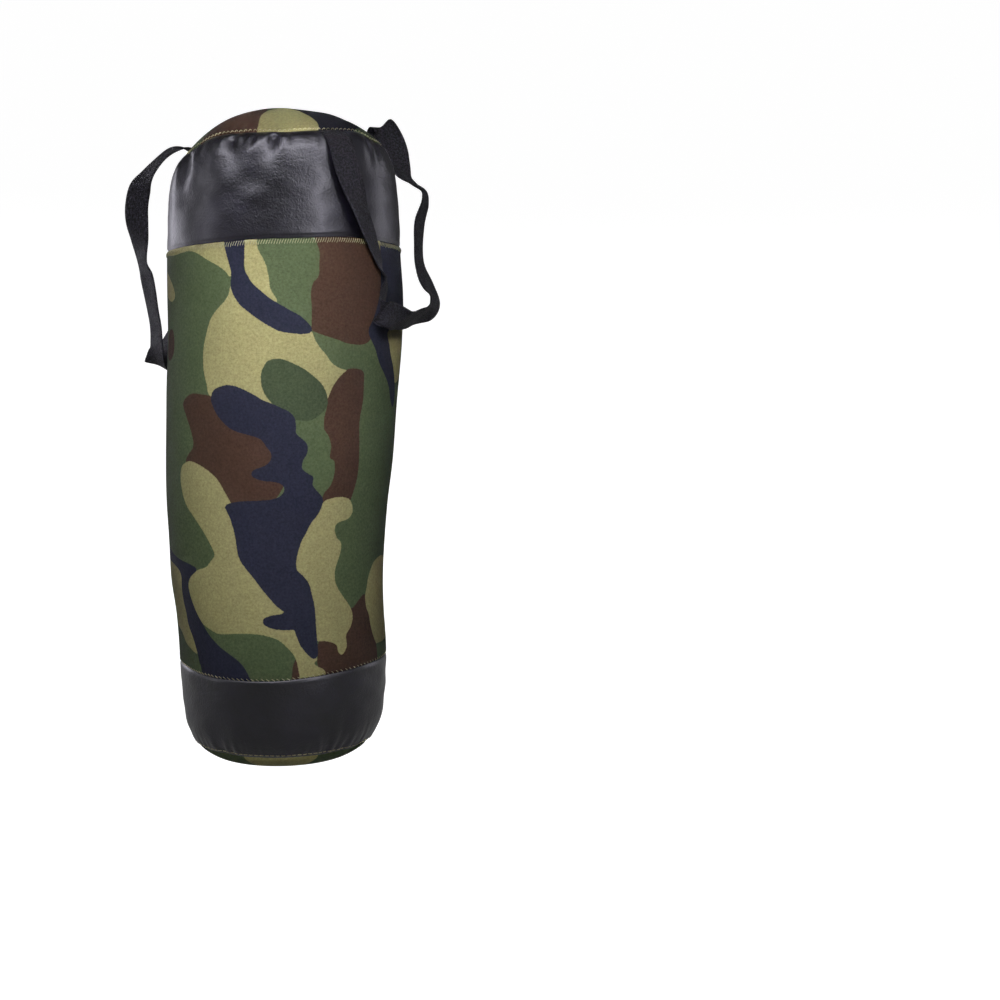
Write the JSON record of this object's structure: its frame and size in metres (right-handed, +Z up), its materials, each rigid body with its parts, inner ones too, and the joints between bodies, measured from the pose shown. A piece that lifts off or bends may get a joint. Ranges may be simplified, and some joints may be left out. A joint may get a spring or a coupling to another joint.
{
  "type": "toy punching bag",
  "caption": "Stuffed upright cylinder with a camouflage cover, black bands at top and bottom, and webbing loops sewn into its top seam to hang it by.",
  "frame": {"origin": "centre of the flat base, on the surface that the bag stands on", "axes": "+Z up along the bag, -Y to the front, +X to the right seen from the front"},
  "size_m": [0.2173, 0.1658, 0.45],
  "materials": {
    "camo_cloth": "matte",
    "black_vinyl": "gloss",
    "black_webbing": "matte",
    "pale_thread": "matte",
    "black_thread": "matte",
    "wadding": "matte"
  },
  "bodies": {
    "bag": {"top_panel": "camo_cloth", "top_band": "black_vinyl", "body_panel": "camo_cloth", "bottom_band": "black_vinyl", "bottom_panel": "camo_cloth", "filling": "wadding", "left_strap_ends": "black_webbing", "right_strap_ends": "black_webbing", "dome_stitches": "pale_thread", "overlock_stitches": "pale_thread", "lower_seam_stitches": "pale_thread", "base_stitches": "pale_thread", "back_seam_stitches": "black_thread"},
    "left_loop": {"left_strap": "black_webbing"},
    "right_loop": {"right_strap": "black_webbing"}
  },
  "joints": [
    {"name": "left_loop_swing", "type": "hinge", "parent": "bag", "child": "left_loop", "pos_m": [-0.079, -0.0169, 0.4178], "axis": [0.4918, 0.8706, 0.0159], "range_deg": [0, 105]},
    {"name": "right_loop_swing", "type": "hinge", "parent": "bag", "child": "right_loop", "pos_m": [0.0414, -0.0688, 0.4165], "axis": [-0.2763, -0.9159, -0.2911], "range_deg": [0, 120]}
  ]
}
